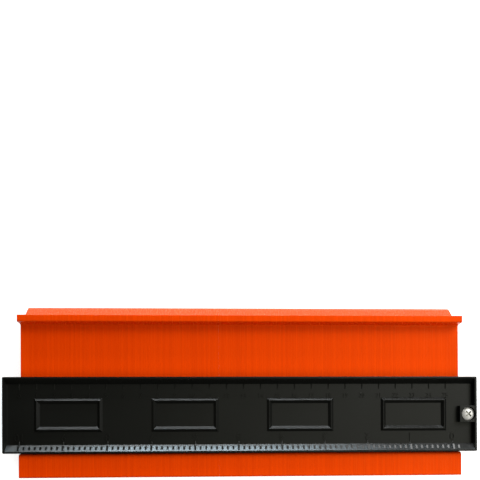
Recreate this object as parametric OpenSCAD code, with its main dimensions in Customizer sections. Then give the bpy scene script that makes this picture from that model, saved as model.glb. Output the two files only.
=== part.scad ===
// Contour gauge: a rack of thin sliding leaves held by friction in a two-piece housing.
// X runs along the housing, Y along the leaves, Z out of the face with the upright scale.
// The gauge lies on its back, with its leaves pushed fully out at the top.

/* [Leaves] */
// Working width of the rack of leaves
rack_w = 259.08; // [200:0.5:320]
// Running gap between neighbouring leaves
leaf_gap = 0.07; // [0.05:0.01:0.12]
// Leaves that share one node and slide together
leaves_per_group = 4; // [2:1:5]
// Thickness of the neck that slides in the housing
neck_t = 11.4; // [9:0.1:14]
// How far the foot stands out from the neck on each side
foot_step = 3.8; // [2.5:0.1:4.4]
// Height of the foot below the housing
foot_h = 14; // [8:0.5:22]
// Rounding of the foot's shoulders
shoulder_r = 1.8; // [1:0.1:2.4]
// Rounding of the foot's bottom corners
foot_r = 1; // [0.5:0.1:2]
// Fillet where the neck meets the foot
foot_fillet_r = 0.5; // [0.3:0.05:0.6]
// How far a leaf slides
travel = 31; // [10:0.5:60]
// Clearance left at both stops
stop_gap = 0.3; // [0.2:0.05:0.6]
// Height of the lip's front face
lip_h = 4; // [2:0.1:5]
// Fillet under the lip
lip_fillet_r = 1; // [0.6:0.1:1.6]
// Rounding of the lip's lower edge
lip_r = 0.8; // [0.4:0.1:1.2]
// Rounding of the lip's upper edge
edge_r = 0.4; // [0.2:0.05:0.8]
// Height of the sloped tip above the lip
tip_h = 8.9; // [5:0.1:14]
// Depth of the flat land on top of the front lip
lip_land = 12; // [9:0.5:14]

/* [Housing] */
// Height of the housing along the leaves
housing_h = 44; // [36:1:60]
// Wall between the leaves and the tray floor
wall_t = 2.7; // [1.8:0.1:3]
// Depth of the tray below the rim
tray_depth = 3.4; // [3:0.1:5]
// Solid end of the housing beyond the leaf stack
end_block = 8.25; // [7.8:0.05:14]
// Clearance between the leaf stack and each end block
stack_gap = 0.25; // [0.1:0.05:0.6]
// Clearance between a neck and the channel wall
neck_gap = 0.2; // [0.15:0.05:0.4]
// Rounding of the housing's corners
corner_r = 0.8; // [0.4:0.1:2]
// Flat rim along the two long sides
long_rim = 1; // [0.6:0.1:2]
// Flat rim at the two ends
end_rim = 1.15; // [0.8:0.05:2]
// Run of the bevel on the foot side, from the rim to the tray floor
lower_bevel_run = 3.7; // [2:0.1:5]
// Run of the steeper bevel on the tips' side
upper_bevel_run = 3; // [2:0.1:5]
// Draft of the tray's end walls
end_draft = 0.3; // [0.1:0.05:0.8]
// Lead-in chamfer at the channel's mouths
mouth_chamfer = 0.7; // [0.6:0.05:1]
// Wall round the hollows in the end blocks
core_wall = 1.6; // [1:0.1:2.2]

/* [Raised frames] */
// Number of frames along the tray
frame_count = 4; // [1:1:6]
// Space left at the tray's ends when the frames are shared out
frame_margin = 3; // [0:0.5:8]
// Bare floor between two frames
frame_space = 28.2; // [10:0.1:40]
// Height of a frame along the leaves
frame_h = 19.6; // [12:0.1:24]
// How far the frame's ridge stands above the tray floor
ridge_h = 1.1; // [0.8:0.1:2]
// Run of the ridge's outer slope
ridge_outer_run = 1.3; // [0.8:0.1:2]
// Flat top of the ridge
ridge_land = 0.3; // [0.2:0.05:1]
// Run of the ridge's inner slope
ridge_inner_run = 1.5; // [0.8:0.1:2.5]
// How far the pocket inside a frame lies below the tray floor
pocket_drop = 0.4; // [0.2:0.05:0.6]

/* [Scales] */
// Spacing of the ticks on the upper scale, one centimetre
centimetre = 10; // [8:0.5:12]
// Spacing of the long marks on the lower scale, one inch
inch = 25.4; // [20:0.2:30]
// Ribs to one inch
ribs_per_inch = 8; // [4:4:8]
// Width of a tick's bead on the tray floor
tick_w = 0.7; // [0.5:0.05:0.9]
// Length of a centimetre tick
tick_len = 3; // [2:0.1:4]
// Length of an inch stub
stub_len = 2; // [1:0.1:3]
// How far the ticks stand above the tray floor
tick_rise = 0.2; // [0.1:0.05:0.3]
// Width of a rib on the lower bevel
rib_w = 1.1; // [0.6:0.05:1.4]
// How far a rib's end by the rim stands out of the bevel
rib_rise = 0.1; // [0.05:0.05:0.3]
// How far an inch rib stops short of the bevel's edges
rib_inset = 0.4; // [0.3:0.1:0.7]
// How far the ribs between the inches stop short of them
short_rib_inset = 0.9; // [0.8:0.1:1.4]

/* [Clamp screws] */
// Radius of the screw's head
head_r = 3.95; // [3.2:0.05:4.2]
// Height of the screw's head
head_h = 2.5; // [2:0.1:2.8]
// Radius of the screw's shank
shank_r = 2; // [1.5:0.05:2.2]
// Radial clearance of the shank in its bores
bore_gap = 0.05; // [0.02:0.01:0.1]
// Radial clearance of the head in its counterbore
head_gap = 0.2; // [0.1:0.05:0.4]
// Depth of the counterbore below the boss
counterbore_depth = 2.8; // [2.8:0.1:3.2]
// Skin left between the counterbore and the housing's end
end_skin = 0.55; // [0.4:0.05:1]
// Land between the counterbore and the boss's inner side
boss_land = 1.15; // [0.8:0.05:2]
// Land between the counterbore and the boss's upper and lower sides
boss_side_land = 0.65; // [0.4:0.05:1.5]
// How far the boss stops below the rim
boss_drop = 0.2; // [0.1:0.05:0.6]
// Depth of the blind bore in the far half
blind_depth = 6.8; // [5:0.1:7]
// Space beyond the screw's tip
tip_gap = 0.4; // [0.2:0.1:1]
// Length of one arm of the cross recess
recess_arm = 2.1; // [1.4:0.1:2.4]
// Width of the cross recess
recess_w = 0.9; // [0.6:0.05:1.2]
// Depth of the cross recess
recess_depth = 1.5; // [1:0.1:1.8]
// How far the tightened screw's recess is turned
recess_turn = 45; // [0:5:90]

/* [Friction strips] */
// Height of the rubber strip along the leaves
strip_h = 12; // [6:0.5:18]
// How far the strip stops short of the stack's ends
strip_inset = 2; // [1:0.5:6]
// Clearance between a strip and the leaves
strip_gap = 0.05; // [0.03:0.01:0.1]

/* [Hidden] */
$fn = 48;
GROUP_COUNT = 51;
function two_digits(i) = i < 10 ? str("0", i) : str(i);
function group_name(i) = str("leaf_group_", two_digits(i));

leaf_color = "#f0480c";
housing_color = "#20211f";
screw_color = "#d9d9d6";
strip_color = "#4a4b4d";

// One overrun serves every cut
over = neck_gap;

leaf_count = GROUP_COUNT * leaves_per_group;
leaf_pitch = rack_w / leaf_count;
leaf_t = leaf_pitch - leaf_gap;
stack_w = rack_w - leaf_gap;
channel_w = stack_w + 2 * stack_gap;
housing_w = channel_w + 2 * end_block;

channel_half = neck_t / 2 + neck_gap;
floor_z = channel_half + wall_t;
half_t = floor_z + tray_depth;
lip_half = half_t;
foot_half = neck_t / 2 + foot_step;

neck_len = housing_h + travel + 2 * stop_gap;
neck_end = foot_h + neck_len;
underside_slope = 5;
underside_rise = (lip_half - neck_t / 2) * tan(underside_slope);
lip_low = neck_end + underside_rise;
lip_top = lip_low + lip_h;
leaf_len = lip_top + tip_h;

// The part's own frame has its origin under the middle of the whole gauge
leaf_y = -leaf_len / 2;
housing_y = leaf_y + foot_h + stop_gap;
mid_z = half_t;

bore_r = shank_r + bore_gap;
counterbore_r = head_r + head_gap;
screw_x = housing_w / 2 - end_skin - counterbore_r;
boss_x = screw_x - counterbore_r - boss_land;
boss_half_h = counterbore_r + boss_side_land;
boss_z = half_t - boss_drop;
seat_z = boss_z - counterbore_depth;

frame_pitch = (housing_w - 2 * frame_margin) / frame_count;
frame_w = frame_pitch - frame_space;
pocket_z = floor_z - pocket_drop;

groove_depth = (wall_t - pocket_drop) / 2;
strip_t = groove_depth + neck_gap - strip_gap;
strip_w = stack_w - 2 * strip_inset;

SMALL_STEPS = 3;
RAMP_STEPS = 8;

// Points of an arc about (x, y), from angle a to angle b
function arc(x, y, r, a, b, steps) =
    [for (i = [0 : steps]) let (t = a + (b - a) * i / steps) [x + r * cos(t), y + r * sin(t)]];

function mirrored(points) =
    [for (i = [len(points) - 1 : -1 : 0]) [points[i][0], -points[i][1]]];

// Shared side of a leaf, from the bottom corner to the lip's lower edge
foot_side = concat(
    arc(foot_r, foot_half - foot_r, foot_r, 180, 90, SMALL_STEPS),
    arc(foot_h - shoulder_r, foot_half - shoulder_r, shoulder_r, 90, 0, SMALL_STEPS),
    arc(foot_h + foot_fillet_r, neck_t / 2 + foot_fillet_r, foot_fillet_r, 180, 270, SMALL_STEPS)
);
fillet_shift = lip_fillet_r * tan((90 - underside_slope) / 2);
lip_shift = lip_r * tan((90 - underside_slope) / 2);
lip_side = concat(
    arc(neck_end - fillet_shift, neck_t / 2 + lip_fillet_r, lip_fillet_r,
        270, 360 - underside_slope, SMALL_STEPS),
    arc(lip_low + lip_shift, lip_half - lip_r, lip_r, 180 - underside_slope, 90, SMALL_STEPS)
);
side = concat(foot_side, lip_side);

// The sloped tip leaves the land at this angle and rounds over to the rear face
ramp_angle = 45;
land_end = lip_half - lip_land;
tip_depth = land_end + lip_half;
ramp_r = (tip_depth * sin(ramp_angle) - tip_h * cos(ramp_angle)) / (1 - cos(ramp_angle));
top_side = concat(
    arc(lip_top - edge_r, lip_half - edge_r, edge_r, 90, 0, SMALL_STEPS),
    [[lip_top, land_end]],
    arc(leaf_len - ramp_r, -lip_half, ramp_r, ramp_angle, 0, RAMP_STEPS)
);

module leaf() {
    rotate([90, 0, 90])
        linear_extrude(height = leaf_t)
            polygon(concat(side, top_side, mirrored(side)));
}

module leaf_group(group) {
    color(leaf_color)
        for (i = [0 : leaves_per_group - 1])
            translate([((group - 1) * leaves_per_group + i) * leaf_pitch - stack_w / 2, leaf_y, mid_z])
                leaf();
}

module rounded_rect(w, h, r) {
    square([w - 2 * r, h], center = true);
    square([w, h - 2 * r], center = true);
    for (x = [-1, 1], y = [-1, 1])
        translate([x * (w / 2 - r), y * (h / 2 - r)]) circle(r);
}

// A block with sloped sides: bottom and top are its half sizes at z0 and z1
module sloped_block(bottom, top, z0, z1) {
    intersection() {
        rotate([90, 0, 0])
            linear_extrude(height = 2 * max(bottom[1], top[1]) + 2 * over, center = true)
                polygon([[-bottom[0], z0], [bottom[0], z0], [top[0], z1], [-top[0], z1]]);
        rotate([90, 0, 90])
            linear_extrude(height = 2 * max(bottom[0], top[0]) + 2 * over, center = true)
                polygon([[-bottom[1], z0], [bottom[1], z0], [top[1], z1], [-top[1], z1]]);
    }
}

// Half sizes of the tray, at the floor and at the rim
tray_top = [housing_w / 2 - end_rim, housing_h / 2 - long_rim];
tray_floor_x = tray_top[0] - end_draft;
tray_floor_low = lower_bevel_run - tray_top[1];
tray_floor_high = tray_top[1] - upper_bevel_run;

// A cut is carried on past the rim along its own slope
function beyond(low, high, rise, extra) = high + (high - low) * extra / rise;

module tray_cut() {
    top_x = beyond(tray_floor_x, tray_top[0], tray_depth, over);
    top_low = beyond(tray_floor_low, -tray_top[1], tray_depth, over);
    top_high = beyond(tray_floor_high, tray_top[1], tray_depth, over);
    intersection() {
        rotate([90, 0, 0])
            linear_extrude(height = 2 * housing_h, center = true)
                polygon([[-tray_floor_x, floor_z], [tray_floor_x, floor_z],
                         [top_x, half_t + over], [-top_x, half_t + over]]);
        rotate([90, 0, 90])
            linear_extrude(height = 2 * housing_w, center = true)
                polygon([[tray_floor_low, floor_z], [tray_floor_high, floor_z],
                         [top_high, half_t + over], [top_low, half_t + over]]);
    }
}

ridge_outer = [frame_w / 2, frame_h / 2];
ridge_top = [for (v = ridge_outer) v - ridge_outer_run];
ridge_inner = [for (v = ridge_top) v - ridge_land];
pocket_slope_h = ridge_h + pocket_drop;
pocket_floor = [for (v = ridge_inner) v - ridge_inner_run];

module at_frames() {
    for (i = [0 : frame_count - 1])
        translate([(i - (frame_count - 1) / 2) * frame_pitch, 0, 0]) children();
}

module frame_ridge() {
    sloped_block(ridge_outer, ridge_top, floor_z, floor_z + ridge_h);
}

module frame_pocket() {
    sloped_block(pocket_floor, beyond(pocket_floor, ridge_inner, pocket_slope_h, over),
                 pocket_z, floor_z + ridge_h + over);
}

module screw_boss() {
    intersection() {
        translate([boss_x, -boss_half_h, floor_z])
            cube([housing_w / 2 - boss_x - end_skin, 2 * boss_half_h, boss_z - floor_z]);
        linear_extrude(height = half_t) rounded_rect(housing_w, housing_h, corner_r);
    }
}

// A shallow round bead that lies along Y and stands out of the plane z = 0
module bead(w, rise, len) {
    r = (w * w / 4 + rise * rise) / (2 * rise);
    translate([0, 0, rise - r]) rotate([-90, 0, 0]) cylinder(r = r, h = len);
}

// Both scales start at the left end of the rack
module upper_ticks() {
    for (i = [0 : floor(rack_w / centimetre)])
        translate([i * centimetre - rack_w / 2, tray_floor_high - tick_len, floor_z])
            bead(tick_w, tick_rise, tick_len + over);
}

module lower_stubs() {
    for (i = [0 : floor(rack_w / inch)])
        translate([i * inch - rack_w / 2, tray_floor_low - over, floor_z])
            bead(tick_w, tick_rise, stub_len + over);
}

// The ribs' tops fall towards the tray less steeply than the bevel does
rib_slope = 25;

module lower_ribs() {
    for (i = [0 : floor(rack_w / inch * ribs_per_inch)])
        let (inset = i % ribs_per_inch == 0 ? rib_inset : short_rib_inset,
             rib_len = lower_bevel_run - 2 * inset,
             top_z = (lower_bevel_run - inset) * tray_depth / lower_bevel_run + rib_rise)
            translate([i * inch / ribs_per_inch - rack_w / 2, tray_floor_low - inset, floor_z])
                rotate([90, 0, 90])
                    linear_extrude(height = rib_w, center = true)
                        polygon([[-rib_len, 0], [-rib_len, top_z],
                                 [0, top_z - rib_len * tan(rib_slope)], [0, 0]]);
}

module end_cores() {
    core_w = end_block - 2 * core_wall;
    core_h = housing_h / 2 - boss_half_h - core_wall;
    for (x = [-1, 1], y = [-1, 1])
        translate([x * (channel_w + end_block) / 2, y * (boss_half_h + core_h / 2), 0])
            cube([core_w, core_h, 2 * channel_half], center = true);
}

module channel_cut() {
    cube([channel_w, housing_h + 2 * over, 2 * channel_half], center = true);
    for (y = [-1, 1])
        scale([1, y, 1])
            rotate([90, 0, 90])
                linear_extrude(height = channel_w, center = true)
                    polygon([
                        [housing_h / 2 - mouth_chamfer, channel_half],
                        [housing_h / 2 - mouth_chamfer, 0],
                        [housing_h / 2 + over, 0],
                        [housing_h / 2 + over, channel_half + mouth_chamfer + over]
                    ]);
}

module strip_groove() {
    translate([-strip_w / 2, -strip_h / 2, 0])
        cube([strip_w, strip_h, channel_half + groove_depth]);
}

// One moulding, seen from its outer face, with its parting plane at z = 0
module housing_moulding() {
    difference() {
        union() {
            difference() {
                linear_extrude(height = half_t) rounded_rect(housing_w, housing_h, corner_r);
                tray_cut();
            }
            at_frames() frame_ridge();
            screw_boss();
            upper_ticks();
            lower_stubs();
            lower_ribs();
        }
        at_frames() frame_pocket();
        channel_cut();
        strip_groove();
        end_cores();
        translate([screw_x, 0, -over]) cylinder(r = bore_r, h = half_t + 2 * over);
        translate([screw_x, 0, seat_z]) cylinder(r = counterbore_r, h = half_t);
        translate([-screw_x, 0, -over]) cylinder(r = bore_r, h = blind_depth + over);
    }
}

module strip() {
    translate([-strip_w / 2, -strip_h / 2, channel_half + groove_depth - strip_t])
        cube([strip_w, strip_h, strip_t]);
}

// Pan head with a cross recess, over a plain shank
module clamp_screw() {
    rim_h = head_h / 3;
    crown = head_h - rim_h;
    dome_r = (head_r * head_r + crown * crown) / (2 * crown);
    difference() {
        union() {
            translate([0, 0, seat_z]) cylinder(r = head_r, h = rim_h);
            translate([0, 0, seat_z])
                intersection() {
                    cylinder(r = head_r, h = head_h);
                    translate([0, 0, head_h - dome_r]) sphere(dome_r);
                }
            translate([0, 0, tip_gap - blind_depth])
                cylinder(r = shank_r, h = seat_z + blind_depth - tip_gap);
        }
        translate([0, 0, seat_z + head_h - recess_depth / 2])
            for (turn = [recess_turn, recess_turn + 90])
                rotate([0, 0, turn])
                    cube([2 * recess_arm, recess_w, recess_depth + over], center = true);
    }
}

module at_front() {
    translate([0, housing_y + housing_h / 2, mid_z]) children();
}

module at_rear() {
    at_front() rotate([0, 180, 0]) children();
}

module front_half() {
    color(housing_color) at_front() housing_moulding();
}

module rear_half() {
    color(housing_color) at_rear() housing_moulding();
}

module front_friction_strip() {
    color(strip_color) at_front() strip();
}

module rear_friction_strip() {
    color(strip_color) at_rear() strip();
}

module front_clamp_screw() {
    color(screw_color) at_front() translate([screw_x, 0, 0]) clamp_screw();
}

module rear_clamp_screw() {
    color(screw_color) at_rear() translate([screw_x, 0, 0]) clamp_screw();
}

front_half();
rear_half();
front_friction_strip();
rear_friction_strip();
front_clamp_screw();
rear_clamp_screw();
for (i = [1 : GROUP_COUNT])
    leaf_group(i);
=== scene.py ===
import math
import bmesh
import bpy
from mathutils import Matrix, Vector


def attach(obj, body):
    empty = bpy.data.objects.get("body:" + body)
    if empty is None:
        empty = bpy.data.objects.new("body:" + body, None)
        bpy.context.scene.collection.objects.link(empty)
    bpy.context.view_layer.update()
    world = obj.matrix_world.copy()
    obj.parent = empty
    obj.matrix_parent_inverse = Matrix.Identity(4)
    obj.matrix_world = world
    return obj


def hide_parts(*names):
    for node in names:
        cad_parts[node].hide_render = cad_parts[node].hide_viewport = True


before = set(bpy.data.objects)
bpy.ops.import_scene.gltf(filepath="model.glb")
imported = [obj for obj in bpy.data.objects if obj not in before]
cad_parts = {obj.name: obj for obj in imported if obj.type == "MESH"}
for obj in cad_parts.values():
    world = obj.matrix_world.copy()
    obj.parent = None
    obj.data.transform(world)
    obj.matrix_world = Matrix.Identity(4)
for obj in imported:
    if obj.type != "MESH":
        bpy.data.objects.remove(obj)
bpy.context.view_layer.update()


# The housing: two like mouldings of black ABS, face to face round the leaves. The tool left a fine
# spark-eroded grain on the tray, and every edge comes out of the mould with a small radius.
HOUSING_RADIUS = 0.00014
RIB_RADIUS = 0.00005
WELD_REACH = 1e-6
COPLANAR = math.radians(0.3)
# Faces that turn from each other by less than this are facets of one curve, with no edge between them
SHARP = math.radians(38)
# A wide face has more than 4 square millimetres
WIDE_FACE = 4e-6
# A face takes the normals of the wide face beside it while the cosine between them is above this
SAME_TURN = 0.6


def linear(code):
    """An sRGB hex colour, as the linear values that a shader takes."""
    channels = [int(code[i:i + 2], 16) / 255 for i in (1, 3, 5)]
    return [c / 12.92 if c <= 0.04045 else ((c + 0.055) / 1.055) ** 2.4 for c in channels] + [1.0]


def add(tree, kind, inputs=None, **settings):
    """A new node with its settings, each input given its value or its link."""
    node = tree.nodes.new(kind)
    for name, value in settings.items():
        setattr(node, name, value)
    for name, value in (inputs or {}).items():
        if isinstance(value, bpy.types.NodeSocket):
            tree.links.new(value, node.inputs[name])
        else:
            node.inputs[name].default_value = value
    return node


def empty_material(name):
    """A new material, and its node tree with nothing in it."""
    material = bpy.data.materials.new(name)
    material.use_nodes = True
    material.node_tree.nodes.clear()
    return material, material.node_tree


def surfaced(tree, shader):
    add(tree, "ShaderNodeOutputMaterial", {"Surface": shader.outputs["BSDF"]})


def with_small_radii(node, name, radius, fine_radius, segments=2):
    """A welded copy of a CAD node, with its coplanar triangles joined and its edges rounded.

    Outer edges of wide faces get the full radius, and those of ribs and ticks the fine one.
    """
    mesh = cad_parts[node].data.copy()
    work = bmesh.new()
    work.from_mesh(mesh)
    bmesh.ops.remove_doubles(work, verts=work.verts, dist=WELD_REACH)
    bmesh.ops.dissolve_limit(work, angle_limit=COPLANAR, verts=work.verts, edges=work.edges)
    for face in work.faces:
        face.smooth = True
    weight = work.edges.layers.float.new("bevel_weight_edge")
    for edge in work.edges:
        if len(edge.link_faces) == 2 and edge.calc_face_angle(0.0) > SHARP:
            wide = max(face.calc_area() for face in edge.link_faces) > WIDE_FACE
            edge[weight] = (1.0 if wide else fine_radius / radius) if edge.is_convex else 0.0
            edge.smooth = edge.is_convex
    work.to_mesh(mesh)
    work.free()
    mesh.materials.clear()
    piece = bpy.data.objects.new(name, mesh)
    bpy.context.scene.collection.objects.link(piece)
    bevel = piece.modifiers.new("moulded edge", "BEVEL")
    bevel.width = radius
    bevel.segments = segments
    bevel.limit_method = "WEIGHT"
    bevel.use_clamp_overlap = True
    # Normals follow the wide faces, at the strongest weight there is, so the shading turns only at
    # the rounded edges
    flat = piece.modifiers.new("flat faces", "WEIGHTED_NORMAL")
    flat.keep_sharp = True
    flat.weight = 100
    finished = bpy.data.meshes.new_from_object(piece.evaluated_get(bpy.context.evaluated_depsgraph_get()))
    piece.modifiers.clear()
    piece.data = finished
    # A corner where two slopes meet would bend their shading, so wide faces keep their own normals,
    # and a rounded edge starts from the wide face that it leaves
    flats = {}
    for face in finished.polygons:
        if face.area > WIDE_FACE:
            for point in face.vertices:
                flats.setdefault(point, []).append(face.normal.copy())
    normals = [corner.vector.copy() for corner in finished.corner_normals]
    for face in finished.polygons:
        for point, corner in zip(face.vertices, face.loop_indices):
            nearest = max(flats.get(point, []), key=face.normal.dot, default=None)
            if nearest and nearest.dot(face.normal) > SAME_TURN:
                normals[corner] = nearest
    finished.normals_split_custom_set(normals)
    return piece


# The grain is a little coarser than the real 0.2 mm, so that it shows
GRAIN_WIDTH = 0.00035
GRAIN_DEPTH = 0.00003
# Flow of the plastic from its gates, a few centimetres across: faint changes of shine
FLOW_WIDTH = 0.045

black_abs, tree = empty_material("black_abs_spark_grained")
place = add(tree, "ShaderNodeTexCoord").outputs["Object"]
grain = add(tree, "ShaderNodeTexNoise", {"Vector": place, "Scale": 1 / GRAIN_WIDTH, "Detail": 3.0})
flow = add(tree, "ShaderNodeTexNoise", {"Vector": place, "Scale": 1 / FLOW_WIDTH, "Detail": 2.0})
shine = add(tree, "ShaderNodeMapRange", {
    "Value": flow.outputs["Fac"], "From Min": 0.3, "From Max": 0.7, "To Min": 0.27, "To Max": 0.34})
tint = add(tree, "ShaderNodeMixRGB", {
    "Fac": grain.outputs["Fac"], "Color1": linear("#090a09"), "Color2": linear("#0f100e")})
relief = add(tree, "ShaderNodeBump", {
    "Height": grain.outputs["Fac"], "Strength": 0.25, "Distance": GRAIN_DEPTH})
surfaced(tree, add(tree, "ShaderNodeBsdfPrincipled", {
    "Base Color": tint.outputs["Color"], "Roughness": shine.outputs["Result"],
    "Normal": relief.outputs["Normal"], "IOR": 1.54}))

for half in ("front_half", "rear_half"):
    shell = with_small_radii(half, half + "_moulding", HOUSING_RADIUS, RIB_RADIUS)
    shell.data.materials.append(black_abs)
    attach(shell, "housing")
    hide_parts(half)


# The scales' digits and millimetre ribs: raised a little out of the housing's own moulding.
# They are too small for the CAD and repeat along the tray, so Geometry Nodes lays them out.
def geometry_group(name, inputs):
    """A new geometry tree with these named inputs, and the sockets that bring them in."""
    tree = bpy.data.node_groups.new(name, "GeometryNodeTree")
    for label, kind in inputs:
        tree.interface.new_socket(label, in_out="INPUT", socket_type="NodeSocket" + kind)
    tree.interface.new_socket("Geometry", in_out="OUTPUT", socket_type="NodeSocketGeometry")
    return tree, add(tree, "NodeGroupInput").outputs


def deliver(tree, geometry, material):
    """End a geometry tree with real geometry in its material."""
    real = add(tree, "GeometryNodeRealizeInstances", {"Geometry": geometry})
    dressed = add(tree, "GeometryNodeSetMaterial", {
        "Geometry": real.outputs["Geometry"], "Material": material})
    add(tree, "NodeGroupOutput", {"Geometry": dressed.outputs["Geometry"]})


# One row of numbers: each pass writes its own index, cuts it out of a sheet and joins it to the row
number_row, given = geometry_group("moulded_numbers", [
    ("Count", "Int"), ("Pitch", "Float"), ("Start", "Vector"), ("Turn", "Vector"), ("Height", "Float"),
    ("Rise", "Float"), ("Material", "Material")])
loop_in = add(number_row, "GeometryNodeRepeatInput")
loop_out = add(number_row, "GeometryNodeRepeatOutput")
loop_in.pair_with_output(loop_out)
number_row.links.new(given["Count"], loop_in.inputs["Iterations"])
step = loop_in.outputs["Iteration"]
written = add(number_row, "FunctionNodeValueToString", {"Value": step}, data_type="INT")
outlines = add(number_row, "GeometryNodeStringToCurves", {
    "String": written.outputs["String"], "Size": given["Height"]}, align_x="CENTER", align_y="MIDDLE")
drawn = add(number_row, "GeometryNodeRealizeInstances", {"Geometry": outlines.outputs["Curve Instances"]})
coarse = add(number_row, "GeometryNodeSetSplineResolution", {
    "Geometry": drawn.outputs["Geometry"], "Resolution": 3})
sheet = add(number_row, "GeometryNodeFillCurve", {"Curve": coarse.outputs["Geometry"]})
block = add(number_row, "GeometryNodeExtrudeMesh", {
    "Mesh": sheet.outputs["Mesh"], "Offset Scale": given["Rise"], "Individual": False})
along = add(number_row, "ShaderNodeMath", {0: step, 1: given["Pitch"]}, operation="MULTIPLY")
shift = add(number_row, "ShaderNodeCombineXYZ", {"X": along.outputs[0]})
spot = add(number_row, "ShaderNodeVectorMath", {
    0: given["Start"], 1: shift.outputs["Vector"]}, operation="ADD")
placed = add(number_row, "GeometryNodeTransform", {
    "Geometry": block.outputs["Mesh"], "Translation": spot.outputs["Vector"], "Rotation": given["Turn"]})
joined = add(number_row, "GeometryNodeJoinGeometry")
number_row.links.new(placed.outputs["Geometry"], joined.inputs["Geometry"])
number_row.links.new(loop_in.outputs["Geometry"], joined.inputs["Geometry"])
number_row.links.new(joined.outputs["Geometry"], loop_out.inputs["Geometry"])
deliver(number_row, loop_out.outputs["Geometry"], given["Material"])

# One row of ribs: a small block on each point of a line, tipped to the slope it stands on
rib_row, given = geometry_group("moulded_ribs", [
    ("Count", "Int"), ("Pitch", "Vector"), ("Start", "Vector"), ("Turn", "Vector"), ("Size", "Vector"),
    ("Material", "Material")])
line = add(rib_row, "GeometryNodeMeshLine", {
    "Count": given["Count"], "Start Location": given["Start"], "Offset": given["Pitch"]})
block = add(rib_row, "GeometryNodeMeshCube", {"Size": given["Size"]})
laid = add(rib_row, "GeometryNodeInstanceOnPoints", {
    "Points": line.outputs["Mesh"], "Instance": block.outputs["Mesh"], "Rotation": given["Turn"]})
deliver(rib_row, laid.outputs["Instances"], given["Material"])

# The rows are laid out on a half as seen from its own side, with its height from the parting plane
HALF_THICKNESS = 0.012
HOUSING_Y = -0.0152256
EDGE_TAKEN_OFF = 0.00009


def grown(name, tree, values, turned_over):
    """What a node tree makes with these named inputs, with its edges taken off, as an object of its own."""
    piece = bpy.data.objects.new(name, bpy.data.meshes.new(name))
    bpy.context.scene.collection.objects.link(piece)
    modifier = piece.modifiers.new("layout", "NODES")
    modifier.node_group = tree
    for item in tree.interface.items_tree:
        if item.in_out == "INPUT":
            modifier[item.identifier] = values[item.name]
    soften = piece.modifiers.new("moulded edge", "BEVEL")
    soften.width = EDGE_TAKEN_OFF
    soften.segments = 2
    baked = bpy.data.meshes.new_from_object(piece.evaluated_get(bpy.context.evaluated_depsgraph_get()))
    piece.modifiers.clear()
    piece.data = baked
    onto_half = Matrix.Translation((0, HOUSING_Y, HALF_THICKNESS))
    if turned_over:
        onto_half = onto_half @ Matrix.Rotation(math.pi, 4, "Y")
    baked.transform(onto_half)
    return piece


TRAY_FLOOR = 0.0086
TRAY_DEPTH = 0.0034
TRAY_HALF_HEIGHT = 0.021
RACK_LEFT = -0.12954
NUMBER_RISE = 0.0004
# Centimetres 0 to 25 stand upright along the top of the tray
CENTIMETRE = 0.01
CM_NUMBERS = 26
CM_NUMBER_HEIGHT = 0.0036
CM_ROW = (RACK_LEFT, 0.0112, TRAY_FLOOR)
UPRIGHT = (0.0, 0.0, 0.0)
# Inches 0 to 10 stand upside down along its bottom, and count from right to left
INCH = 0.0254
INCH_NUMBERS = 11
INCH_NUMBER_HEIGHT = 0.0062
INCH_ROW = (RACK_LEFT + (INCH_NUMBERS - 1) * INCH, -0.0128, TRAY_FLOOR)
UPSIDE_DOWN = (0.0, 0.0, math.pi)
# The upper bevel drops by the tray's depth over its run, and the millimetre ribs lie along its middle
MILLIMETRE = 0.001
MM_RIBS = 251
MM_RIB_SIZE = (0.0003, 0.0036, 0.0002)
UPPER_BEVEL_RUN = 0.003
BEVEL_MIDDLE = (RACK_LEFT, TRAY_HALF_HEIGHT - UPPER_BEVEL_RUN / 2, TRAY_FLOOR + TRAY_DEPTH / 2)
BEVEL_TURN = (math.atan2(TRAY_DEPTH, UPPER_BEVEL_RUN), 0.0, 0.0)

for side, turned_over in (("front", False), ("rear", True)):
    rows = [
        grown(side + "_centimetre_numbers", number_row, {
            "Count": CM_NUMBERS, "Pitch": CENTIMETRE, "Start": CM_ROW, "Turn": UPRIGHT,
            "Height": CM_NUMBER_HEIGHT, "Rise": NUMBER_RISE, "Material": black_abs}, turned_over),
        grown(side + "_inch_numbers", number_row, {
            "Count": INCH_NUMBERS, "Pitch": -INCH, "Start": INCH_ROW, "Turn": UPSIDE_DOWN,
            "Height": INCH_NUMBER_HEIGHT, "Rise": NUMBER_RISE, "Material": black_abs}, turned_over),
        grown(side + "_millimetre_ribs", rib_row, {
            "Count": MM_RIBS, "Pitch": (MILLIMETRE, 0.0, 0.0), "Start": BEVEL_MIDDLE,
            "Turn": BEVEL_TURN, "Size": MM_RIB_SIZE, "Material": black_abs}, turned_over)]
    for row in rows:
        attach(row, "housing")


# The friction strips: soft black rubber, cut from sheet and laid in a groove of each inner wall.
# Their faces are dull, with the fine cloth-like print of the sheet they are cut from.
PRINT_WIDTH = 0.0008
PRINT_DEPTH = 0.00005

sheet_rubber, tree = empty_material("sheet_rubber_cut")
place = add(tree, "ShaderNodeTexCoord").outputs["Object"]
cloth_print = add(tree, "ShaderNodeTexNoise", {"Vector": place, "Scale": 1 / PRINT_WIDTH, "Detail": 2.0})
tint = add(tree, "ShaderNodeMixRGB", {
    "Fac": cloth_print.outputs["Fac"], "Color1": linear("#2a2a2b"), "Color2": linear("#38383a")})
relief = add(tree, "ShaderNodeBump", {
    "Height": cloth_print.outputs["Fac"], "Strength": 0.4, "Distance": PRINT_DEPTH})
surfaced(tree, add(tree, "ShaderNodeBsdfPrincipled", {
    "Base Color": tint.outputs["Color"], "Roughness": 0.85, "Normal": relief.outputs["Normal"],
    "IOR": 1.52}))

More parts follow.
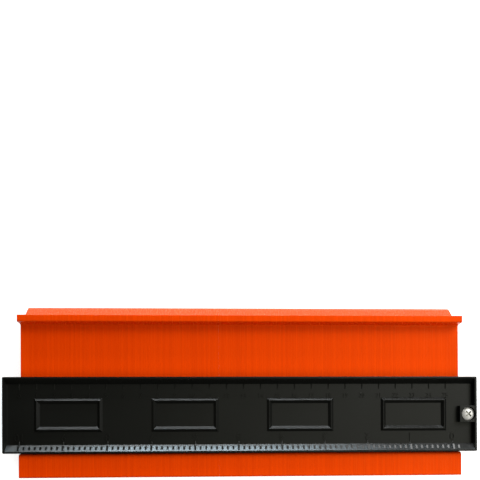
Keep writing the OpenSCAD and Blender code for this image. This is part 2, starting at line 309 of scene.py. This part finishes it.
for strip in ("front_friction_strip", "rear_friction_strip"):
    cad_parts[strip].data.materials.clear()
    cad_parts[strip].data.materials.append(sheet_rubber)


# The leaves: 204 thin blades of orange ABS, moulded smooth and a little glossy. No two take the
# colour quite alike, and their necks are faintly streaked along their length by the sliding.
LEAVES = 204
RACK_WIDTH = 0.25908
LEAF_PITCH = RACK_WIDTH / LEAVES
LEAF_RADIUS = 0.00002
# Real leaves touch, so each one takes up most of the 0.07 mm that its CAD model leaves free
LEAF_SWELL = 0.00003
# Streaks are drawn out along the leaf: 0.5 mm wide and some 40 mm long
STREAK = (0.0005, 0.04, 0.002)
STREAK_DEPTH = 0.00004

orange_abs, tree = empty_material("orange_abs_moulded")
place = add(tree, "ShaderNodeTexCoord").outputs["Object"]
split = add(tree, "ShaderNodeSeparateXYZ", {"Vector": place})
count = add(tree, "ShaderNodeMath", {0: split.outputs["X"], 1: LEAF_PITCH}, operation="DIVIDE")
leaf_number = add(tree, "ShaderNodeMath", {0: count.outputs[0]}, operation="FLOOR")
own = add(tree, "ShaderNodeTexWhiteNoise", {"W": leaf_number.outputs[0]}, noise_dimensions="1D")
long_way = add(tree, "ShaderNodeMapping", {"Vector": place, "Scale": [1 / size for size in STREAK]})
streaks = add(tree, "ShaderNodeTexNoise", {
    "Vector": long_way.outputs["Vector"], "Scale": 1.0, "Detail": 2.0})
tint = add(tree, "ShaderNodeMixRGB", {
    "Fac": own.outputs["Value"], "Color1": linear("#ee4100"), "Color2": linear("#f64500")})
shine = add(tree, "ShaderNodeMapRange", {
    "Value": streaks.outputs["Fac"], "From Min": 0.3, "From Max": 0.7, "To Min": 0.22, "To Max": 0.3})
relief = add(tree, "ShaderNodeBump", {
    "Height": streaks.outputs["Fac"], "Strength": 0.12, "Distance": STREAK_DEPTH})
# The gloss is lower than plain ABS has, and warm, because the rack's many edges break it up and the
# leaves light each other
surfaced(tree, add(tree, "ShaderNodeBsdfPrincipled", {
    "Base Color": tint.outputs["Color"], "Roughness": shine.outputs["Result"],
    "Normal": relief.outputs["Normal"], "IOR": 1.54, "Specular IOR Level": 0.25,
    "Specular Tint": (1.0, 0.75, 0.2, 1.0)}))

for group in sorted(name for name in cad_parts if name.startswith("leaf_group_")):
    leaves = with_small_radii(group, group.replace("group", "set"), LEAF_RADIUS, LEAF_RADIUS, 1)
    for point in leaves.data.vertices:
        across = (point.co.x + RACK_WIDTH / 2) % LEAF_PITCH
        point.co.x += LEAF_SWELL if across > LEAF_PITCH / 2 else -LEAF_SWELL
    leaves.data.materials.append(orange_abs)
    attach(leaves, group)
    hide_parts(group)


# The clamp screws: cold-headed steel, nickel plated, with a cross recess. They sit in the seats of
# the square bosses and draw the halves together.
HEAD_RADIUS = 0.00015
FINE_HEAD_RADIUS = 0.00008
# Fine marks of the heading die and the plating barrel
MARK_WIDTH = 0.0003
MARK_DEPTH = 0.00003

# Dull barrel plating is chalky and nearly white, which a pale colour gives at under half metallic
nickel, tree = empty_material("nickel_plated_steel")
place = add(tree, "ShaderNodeTexCoord").outputs["Object"]
marks = add(tree, "ShaderNodeTexNoise", {"Vector": place, "Scale": 1 / MARK_WIDTH, "Detail": 3.0})
shine = add(tree, "ShaderNodeMapRange", {
    "Value": marks.outputs["Fac"], "From Min": 0.3, "From Max": 0.7, "To Min": 0.54, "To Max": 0.62})
relief = add(tree, "ShaderNodeBump", {
    "Height": marks.outputs["Fac"], "Strength": 0.15, "Distance": MARK_DEPTH})
surfaced(tree, add(tree, "ShaderNodeBsdfPrincipled", {
    "Base Color": linear("#f4f2ec"), "Metallic": 0.45, "Roughness": shine.outputs["Result"],
    "Normal": relief.outputs["Normal"]}))

# The punched recess is painted a darker, duller grey than the head: painted shade of the recess, along with
# the thinner plating there
shaded_recess_nickel, tree = empty_material("nickel_painted_recess_shade")
place = add(tree, "ShaderNodeTexCoord").outputs["Object"]
marks = add(tree, "ShaderNodeTexNoise", {"Vector": place, "Scale": 1 / MARK_WIDTH, "Detail": 2.0})
tint = add(tree, "ShaderNodeMixRGB", {
    "Fac": marks.outputs["Fac"], "Color1": linear("#c4c3bb"), "Color2": linear("#d2d1c9")})
surfaced(tree, add(tree, "ShaderNodeBsdfPrincipled", {
    "Base Color": tint.outputs["Color"], "Metallic": 0.4, "Roughness": 0.7}))

# The recess is found by its reach from the screw's axis and its depth under the top of the crown:
# its walls stand nearly upright, and its floor lies deeper than the crown but short of the shank
SCREW_X = 0.133305
RECESS_REACH = 0.00215
CROWN_DEPTH = 0.0006
RECESS_END = 3 * CROWN_DEPTH
WALL_TILT = 0.3

for screw, side in (("front_clamp_screw", 1), ("rear_clamp_screw", -1)):
    plated = with_small_radii(screw, screw + "_plated", HEAD_RADIUS, FINE_HEAD_RADIUS)
    plated.data.materials.append(nickel)
    plated.data.materials.append(shaded_recess_nickel)
    crown = max(side * point.co.z for point in plated.data.vertices)
    for face in plated.data.polygons:
        from_axis = math.hypot(face.center.x - side * SCREW_X, face.center.y - HOUSING_Y)
        wall = abs(face.normal.z) < WALL_TILT
        depth = crown - side * face.center.z
        # Faces inside the recess take the second material, whose darker grey is painted shade
        if from_axis < RECESS_REACH and depth < RECESS_END and (wall or depth > CROWN_DEPTH):
            face.material_index = 1
    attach(plated, screw)
    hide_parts(screw)


# The stage: a plain pale floor under the gauge. A little glow, seen by the camera and in
# reflections only, lifts the floor to white and leaves the gauge's shadow on it.
FLOOR_HALF = 6.0
# Just clear of the gauge's lowest faces, so that the two don't flicker through each other
FLOOR_Z = -0.0003
FLOOR_GLOW = 0.8

floor_mesh = bpy.data.meshes.new("floor")
corners = [(x * FLOOR_HALF, y * FLOOR_HALF, FLOOR_Z) for x, y in ((-1, -1), (1, -1), (1, 1), (-1, 1))]
floor_mesh.from_pydata(corners, [], [(0, 1, 2, 3)])
floor = bpy.data.objects.new("floor", floor_mesh)
bpy.context.scene.collection.objects.link(floor)
paper, tree = empty_material("white_paper")
path = add(tree, "ShaderNodeLightPath")
seen = add(tree, "ShaderNodeMath", {
    0: path.outputs["Is Camera Ray"], 1: path.outputs["Is Glossy Ray"]}, operation="MAXIMUM")
glow = add(tree, "ShaderNodeMath", {0: seen.outputs[0], 1: FLOOR_GLOW}, operation="MULTIPLY")
surfaced(tree, add(tree, "ShaderNodeBsdfPrincipled", {
    "Base Color": linear("#f4f4f2"), "Roughness": 0.9, "Emission Color": (1, 1, 1, 1),
    "Emission Strength": glow.outputs[0]}))
floor_mesh.materials.append(paper)

# The studio: a ceiling that is dark to the left and pale to the right, and dim walls with a paler
# band along the horizon, brightest beyond the leaves' tips. The camera itself sees plain white.
world = bpy.data.worlds.new("studio")
bpy.context.scene.world = world
world.use_nodes = True
tree = world.node_tree
tree.nodes.clear()
path = add(tree, "ShaderNodeLightPath")
direction = add(tree, "ShaderNodeTexCoord").outputs["Generated"]
toward = add(tree, "ShaderNodeSeparateXYZ", {"Vector": direction})
right = add(tree, "ShaderNodeMapRange", {
    "Value": toward.outputs["X"], "From Min": -0.3, "From Max": 0.4, "To Min": 0.01, "To Max": 0.5})
overhead = add(tree, "ShaderNodeMapRange", {
    "Value": toward.outputs["Z"], "From Min": 0.4, "From Max": 0.75, "To Min": 0.1, "To Max": 1.0})
ceiling = add(tree, "ShaderNodeMath", {
    0: right.outputs["Result"], 1: overhead.outputs["Result"]}, operation="MULTIPLY")
low = add(tree, "ShaderNodeMapRange", {
    "Value": toward.outputs["Z"], "From Min": 0.05, "From Max": 0.5, "To Min": 0.36, "To Max": 0.0})
beyond = add(tree, "ShaderNodeMapRange", {
    "Value": toward.outputs["Y"], "From Min": 0.0, "From Max": 0.7, "To Min": 0.28, "To Max": 1.0})
band = add(tree, "ShaderNodeMath", {
    0: low.outputs["Result"], 1: beyond.outputs["Result"]}, operation="MULTIPLY")
walls = add(tree, "ShaderNodeMath", {0: ceiling.outputs[0], 1: band.outputs[0]}, operation="MAXIMUM")
tone = add(tree, "ShaderNodeMixRGB", {
    "Fac": 1.0, "Color1": walls.outputs[0], "Color2": (1.0, 1.0, 0.82, 1.0)}, blend_type="MULTIPLY")
level = add(tree, "ShaderNodeMixRGB", {
    "Fac": path.outputs["Is Camera Ray"], "Color1": tone.outputs["Color"], "Color2": (1, 1, 1, 1)})
background = add(tree, "ShaderNodeBackground", {"Color": level.outputs["Color"], "Strength": 1.0})
add(tree, "ShaderNodeOutputWorld", {"Surface": background.outputs["Background"]})


def soft_box(name, place, size, power, tone=(1.0, 1.0, 1.0), gloss=True):
    """A soft box that faces the gauge. Without gloss it lights, but no reflection shows it."""
    light = bpy.data.lights.new(name, "AREA")
    light.shape = "RECTANGLE"
    light.size, light.size_y = size
    light.energy = power
    light.color = tone
    lamp = bpy.data.objects.new(name, light)
    bpy.context.scene.collection.objects.link(lamp)
    lamp.location = place
    lamp.rotation_euler = (-Vector(place)).to_track_quat("-Z", "Y").to_euler()
    lamp.visible_camera = False
    lamp.visible_glossy = gloss


# The windows stand beyond the leaves' tips, low enough for the lower bevel of the tray to mirror them
soft_box("key_upper_right", (0.56, 0.54, 0.54), (0.5, 0.5), 6.7)
soft_box("window_beyond_the_tips", (-0.04, 0.75, 0.067), (0.46, 0.044), 3.1, tone=(0.6, 0.85, 1.0))
soft_box("upper_window", (-0.06, 0.72, 0.2), (0.62, 0.1), 3.0, tone=(0.92, 0.97, 1.0))
soft_box("fill_above_the_feet", (0.37, -0.28, 0.55), (0.48, 0.4), 2.1, gloss=False)

# The camera looks straight down on the gauge's front and sees it at the bottom of its view,
# so the lens is shifted rather than the camera tilted. Places are in metres, the lens in millimetres.
view = bpy.data.cameras.new("photo_view")
view.lens = 42.71
view.sensor_width = 36.0
view.shift_y = 0.3947
view.clip_start = 0.01
camera = bpy.data.objects.new("photo_view", view)
bpy.context.scene.collection.objects.link(camera)
camera.location = (-0.01408, -0.02513, 0.35431)
camera.rotation_euler = (math.radians(0.226), math.radians(-2.117), math.radians(-0.273))
bpy.context.scene.camera = camera
bpy.context.scene.view_settings.view_transform = "Standard"
